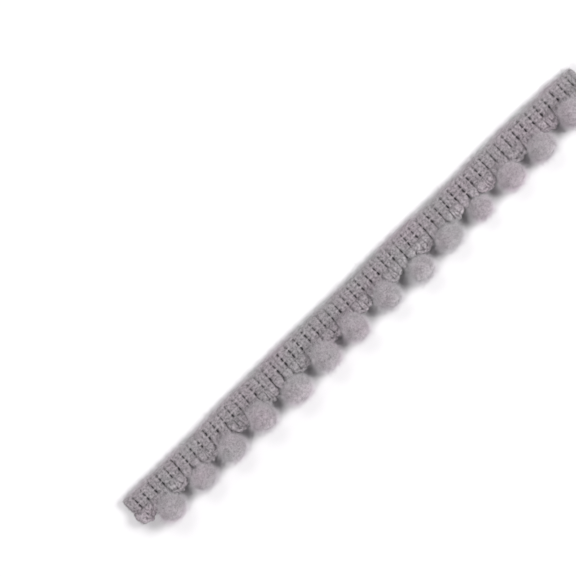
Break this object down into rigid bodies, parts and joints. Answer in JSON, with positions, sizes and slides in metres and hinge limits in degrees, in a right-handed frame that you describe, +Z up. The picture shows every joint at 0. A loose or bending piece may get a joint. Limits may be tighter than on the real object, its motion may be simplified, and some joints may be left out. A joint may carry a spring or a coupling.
{
  "type": "pompom fringe trim",
  "caption": "Straight cut length of narrow ribbed yarn tape with small round cut-pile pompoms bound between rounded lobes along one edge; the other edge is plain.",
  "frame": {"origin": "middle of the trim's length and width, on the surface it lies on", "axes": "+X along the trim, +Y from the pompoms towards the plain edge, +Z up from the surface"},
  "size_m": [0.1316, 0.0126, 0.0063],
  "materials": {
    "tape_yarn": "soft ribbed knit of fuzzy mauve-grey yarn",
    "pompom_pile": "dense velvety cut pile, mauve-grey"
  },
  "bodies": {
    "root": {"heading": "tape_yarn", "pompom_01": "pompom_pile", "pompom_02": "pompom_pile", "pompom_03": "pompom_pile", "pompom_04": "pompom_pile", "pompom_05": "pompom_pile", "pompom_06": "pompom_pile", "pompom_07": "pompom_pile", "pompom_08": "pompom_pile", "pompom_09": "pompom_pile", "pompom_10": "pompom_pile", "pompom_11": "pompom_pile", "pompom_12": "pompom_pile", "pompom_13": "pompom_pile", "pompom_14": "pompom_pile"}
  },
  "joints": []
}
